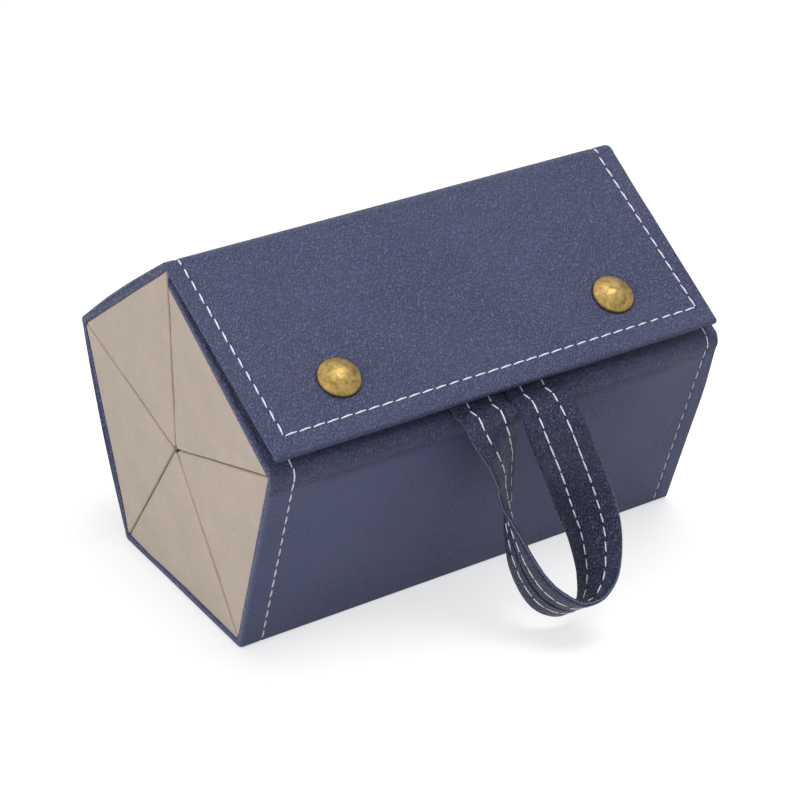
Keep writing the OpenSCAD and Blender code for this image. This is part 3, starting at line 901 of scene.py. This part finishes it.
plated_steel, tree, surface = new_material("plated_steel")
links = tree.links.new
spread = add(tree, "ShaderNodeMapping")
spread.inputs["Scale"].default_value = (0.1, 1.0, 1.0)
links(add(tree, "ShaderNodeTexCoord").outputs["Object"], spread.inputs["Vector"])
brushing = noisy(tree, spread.outputs[0], Scale=900.0, Detail=4.0)
tone = colour_ramp(tree, brushing, (0.42, 0.42, 0.43), (0.6, 0.6, 0.61))
links(tone, surface.inputs["Base Color"])
links(ranged(tree, brushing, 0.0, 1.0, 0.25, 0.42), surface.inputs["Roughness"])
surface.inputs["Metallic"].default_value = 1.0
for name in ("flap_magnets", "roof_studs"):
    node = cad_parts[name]
    node.data.materials.clear()
    node.data.materials.append(plated_steel)
    node.data.set_sharp_from_angle(angle=radians(38))

cap_profile = [(1.4, -2.9), (1.4, -0.05), (6.6, -0.05), (7.0, 0.02), (7.2, 0.2), (7.24, 0.45), (7.14, 0.7),
               (6.95, 0.92), (6.6, 1.16), (6.1, 1.44), (5.4, 1.84), (4.5, 2.36), (3.5, 2.85),
               (2.4, 3.24), (1.2, 3.48), (0, 3.56)]
for end, word in ((-1, "left"), (1, "right")):
    bm = bmesh.new()
    loop = [bm.verts.new((r, 0, z)) for r, z in cap_profile]
    for a, b in zip(loop, loop[1:]):
        bm.edges.new((a, b))
    bmesh.ops.spin(bm, geom=bm.verts[:] + bm.edges[:], cent=(0, 0, 0), axis=(0, 0, 1), angle=radians(360),
                   steps=72, use_merge=True, use_duplicate=False)
    bmesh.ops.remove_doubles(bm, verts=bm.verts, dist=0.001)
    bmesh.ops.holes_fill(bm, edges=bm.edges, sides=0)
    bmesh.ops.recalc_face_normals(bm, faces=bm.faces)
    # The rim layer darkens the brass near the cap's edge: painted shade where the dome meets the leather.
    rim = bm.verts.layers.float_color.new("rim")
    for v in bm.verts:
        reach = v.co.xy.length
        painted_shade = 1 - 0.75 * smoothly((reach - 6.7) / 0.45)
        v[rim] = (painted_shade, painted_shade, painted_shade, 1)
    move = Matrix.Translation(flap_place(end * button_spacing / 2, flap_length - button_edge, 0))
    turn, _ = axes(Vector(), Vector((1, 0, 0)), Vector((0, *flap_out)))
    bmesh.ops.transform(bm, matrix=move @ turn, verts=bm.verts)
    cap = mesh_object(bm, f"{word}_button_cap", antique_brass)
    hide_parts("button_caps")
    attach(cap, "flap")

# ---- Carrying strap ----
# A strip of the same leather folded to a flat tube, its edges meeting at the
# back, sewn with two rows. Both ends are sewn down under the flap, a twist between.

strap_spacing, strap_thick = 20.2, 2.0
swing = shoulder + Vector((-4.0, 0.15 * sin(radians(roof_turn - 90)) + strap_thick / 2))
loop_clearance = 4.4
drop = swing.y - loop_clearance - strap_thick / 2
strap_leather = leather_material(
    "strap_leather", (0.07, 0.079, 0.16), (0.034, 0.04, 0.098), 1.8, 1.5, 0.36, 0.4)
# A lighter leather on the folded edges: a painted highlight along them.
painted_highlight_edge = leather_material(
    "strap_rubbed_edge", (0.13, 0.14, 0.22), (0.08, 0.09, 0.16), 1.8, 0.7, 0.36, 0.4)
# Dark leather on the cut ends, their own colour, and in the slit where the edges meet at the back, where it is
# painted shade.
cut_edge_and_slit_shade = leather_material(
    "strap_cut_edge_and_slit_shade", (0.02, 0.022, 0.04), (0.012, 0.014, 0.026), 2.0, 0.6, 0.8)

# Stations on the middle of the strap: x, y and z, then the turn of its width
# from the length of the case towards the front, and how far it tilts down. Where
# it hangs they are written in other units: x in strap spacings, and how far it
# stands out from the swing line and how far it has come down in drops.
under_flap = [shoulder + polar(1, roof_turn - 90) * (0.13 + strap_thick / 2) - polar(s, roof_turn)
              for s in (13.6, 10, 6, 3)]
root_way = [(p.x, p.y) for p in under_flap] + [
    (shoulder.x + 0.4, swing.y + 0.12), (shoulder.x - 1.2, swing.y + 0.02), (shoulder.x - 2.6, swing.y),
    (swing.x + 0.2, swing.y - 0.06), (swing.x - 0.75, swing.y - 0.42)]
hanging = [
    (0, 0.0215, 0.0158, 0, 0), (0.004, 0.071, 0.06, 6, -9),
    (0.042, 0.127, 0.143, 12, -16), (0.181, 0.175, 0.298, 9, -17),
    (0.357, 0.196, 0.456, 30, -18), (0.507, 0.222, 0.615, 55, -16), (0.491, 0.267, 0.741, 72, -20),
    (0.392, 0.308, 0.827, 84, -25), (0.168, 0.344, 0.895, 97, -34), (-0.172, 0.34, 0.911, 97, -41),
    (-0.455, 0.295, 0.874, 92, -46), (-0.612, 0.23, 0.812, 93, -44), (-0.675, 0.141, 0.714, 100, -39),
    (-0.661, 0.05, 0.578, 116, -28), (-0.64, 0.015, 0.451, 130, -3), (-0.709, 0.026, 0.322, 138, 19),
    (-0.797, 0.06, 0.231, 142, 22), (-0.913, 0.073, 0.138, 150, 14), (-0.975, 0.057, 0.076, 167, 3),
    (-0.995, 0.036, 0.037, 177, 0), (-1, 0.0215, 0.0158, 180, 0)]
stations = [(strap_spacing / 2, y, z, 0, 0) for y, z in root_way]
stations += [((x + 0.5) * strap_spacing, swing.x - out * drop, swing.y - down * drop, turn, tilt)
             for x, out, down, turn, tilt in hanging]
stations += [(-strap_spacing / 2, y, z, 180, 0) for y, z in reversed(root_way)]


def between(a, b, c, d, t):
    """A smooth curve from b to c, which leaves and arrives in line with a and d."""
    return [0.5 * (2 * q + (r - p) * t + (2 * p - 5 * q + 4 * r - s) * t * t
                   + (3 * q - p - 3 * r + s) * t ** 3)
            for p, q, r, s in zip(a, b, c, d)]


# Fine steps along the strap, 24 from each station to the next, and how far along it they lie.
fine = []
for i in range(len(stations) - 1):
    four = [stations[max(0, min(len(stations) - 1, i + k))] for k in (-1, 0, 1, 2)]
    fine += [between(*four, t / 24) for t in range(24)]
fine.append(stations[-1])
run = [0.0]
for a, b in zip(fine, fine[1:]):
    run.append(run[-1] + (Vector(b[:3]) - Vector(a[:3])).length)
strap_length = run[-1]


def strap_at(s):
    """The strap's middle, heading, width direction and outer face direction, s mm along it."""
    s = max(0.0, min(strap_length, s))
    lo, hi = 0, len(run) - 1
    while hi - lo > 1:
        half = (lo + hi) // 2
        if run[half] <= s:
            lo = half
        else:
            hi = half
    t = (s - run[lo]) / (run[lo + 1] - run[lo])
    spot = [a + (b - a) * t for a, b in zip(fine[lo], fine[lo + 1])]
    near, far = fine[max(0, lo - 5)], fine[min(len(fine) - 1, lo + 6)]
    heading = (Vector(far[:3]) - Vector(near[:3])).normalized()
    turn, tilt = radians(spot[3]), radians(spot[4])
    lie = Vector((cos(tilt) * cos(turn), -cos(tilt) * sin(turn), -sin(tilt)))
    width = (lie - heading * (lie @ heading)).normalized()
    return Vector(spot[:3]), heading, width, heading.cross(width)


strap_row = 4.1


def strap_section():
    """Half of the strap's section, from the middle of its face round the folded edge to the seam."""
    face = [(0, 0.88), (1.6, 0.9), (3.0, 0.84), (strap_row, 0.70), (5.2, 0.82), (6.6, 0.92), (8.2, 0.95)]
    edge = [(8.8 + 0.94 * sin(radians(a)), 0.95 * cos(radians(a)))
            for a in (15, 35, 55, 75, 90, 105, 125, 145, 165)]
    back = [(8.2, -0.95), (6.6, -0.92), (5.2, -0.82), (strap_row, -0.70), (3.0, -0.84), (1.6, -0.88),
            (0.75, -0.86), (0.42, -0.66), (0.3, -0.3), (0, 0.1)]
    return face + edge + back


half = strap_section()
section = half + [(-u, v) for u, v in reversed(half[1:-1])]
fold = {i for i, (u, v) in enumerate(section) if abs(u) > 9.6}
# The slit faces take the dark edge leather: painted shade in the slit.
seam = {i for i, (u, v) in enumerate(section) if abs(u) < 0.6 and v < -0.2 or (u, v) == half[-1]}
bm = bmesh.new()
rings = []
steps = round(strap_length / 0.95)
for k in range(steps + 1):
    s = strap_length * k / steps
    place, heading, width, face = strap_at(s)
    soft = smoothly((s - 16) / 6) * smoothly((strap_length - 16 - s) / 6)
    ring = []
    for u, v in section:
        p = place + width * u + face * v
        crinkle = noise.noise((s / 1.5, u / 5.5, 3.0)) + 0.6 * noise.noise((s / 4.3, u / 3.2, 7.0))
        p += face * (0.075 * soft * crinkle * (1 if v > 0 else -1)) * smoothly((abs(v) - 0.3) / 0.4)
        ring.append(bm.verts.new(p))
    rings.append(ring)
for a, b in zip(rings, rings[1:]):
    for i in range(len(section)):
        j = (i + 1) % len(section)
        f = bm.faces.new((a[i], a[j], b[j], b[i]))
        # The faces round the folded edges take the painted highlight leather.
        f.material_index = 1 if i in seam and j in seam else 2 if i in fold and j in fold else 0
for ring in (rings[0], rings[-1]):
    f = bm.faces.new(ring)
    f.material_index = 1
bmesh.ops.triangulate(bm, faces=[f for f in bm.faces if len(f.verts) > 4])
bmesh.ops.recalc_face_normals(bm, faces=bm.faces)
strap = mesh_object(bm, "strap", strap_leather, cut_edge_and_slit_shade, painted_highlight_edge)
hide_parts("strap_loop", "strap_ends", "strap_folds")
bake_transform(strap)

bm = bmesh.new()
unsewn = 2
sewn_length = strap_length - 2 * unsewn
count = 2 * round(sewn_length / stitch_pitch)
for k in range(1, count):
    place, heading, width, face = strap_at(unsewn + sewn_length * k / count)
    for u in (-strap_row, strap_row):
        for up in (1, -1):
            if k % 2:
                stitch(bm, place + width * u + face * (0.74 * up), heading, face * up, 0.02, 4.6, 0.22, 0.28)
            else:
                hole(bm, place + width * u + face * (0.62 * up), heading, face * up)
strap_stitching = mesh_object(bm, "strap_stitching", thread, needle_hole_shade)
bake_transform(strap_stitching)
